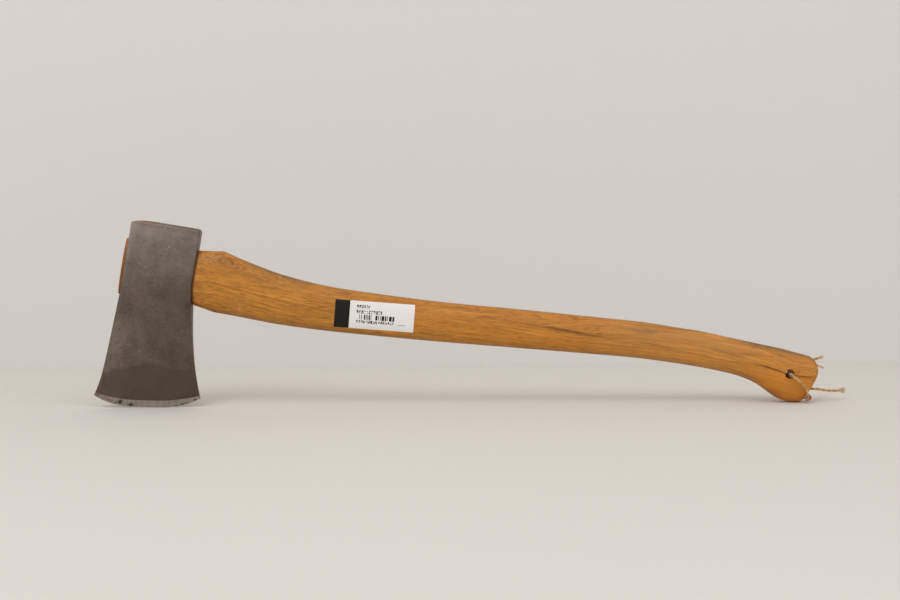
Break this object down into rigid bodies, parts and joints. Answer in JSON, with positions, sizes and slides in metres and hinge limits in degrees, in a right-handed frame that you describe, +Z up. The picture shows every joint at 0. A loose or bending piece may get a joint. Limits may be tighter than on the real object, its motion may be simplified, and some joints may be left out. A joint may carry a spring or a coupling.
{
  "type": "axe",
  "caption": "Felling axe with a forged steel head wedged on a curved hardwood haft, standing on its edge and knob, with a thin twine through the knob.",
  "frame": {"origin": "the middle of the object's box at its base, on the surface it stands on, without the twine", "axes": "+X from the head towards the knob, +Y away from the side with the label, +Z up"},
  "size_m": [0.7014, 0.0391, 0.1703],
  "materials": {
    "head_steel": "dark forged scale, satin, with a bright ground bevel",
    "haft_wood": "oiled hickory",
    "wedge_wood": "plain hardwood",
    "wedge_steel": "plain steel",
    "label_paper": "glossy white label",
    "twine": "natural jute"
  },
  "bodies": {
    "root": {"axe_head": "head_steel", "handle": "haft_wood", "wood_wedge": "wedge_wood", "ring_wedge": "wedge_steel", "label": "label_paper", "twine_front": "twine", "twine_knot": "twine", "twine_tail": "twine", "twine_back": "twine"}
  },
  "joints": []
}
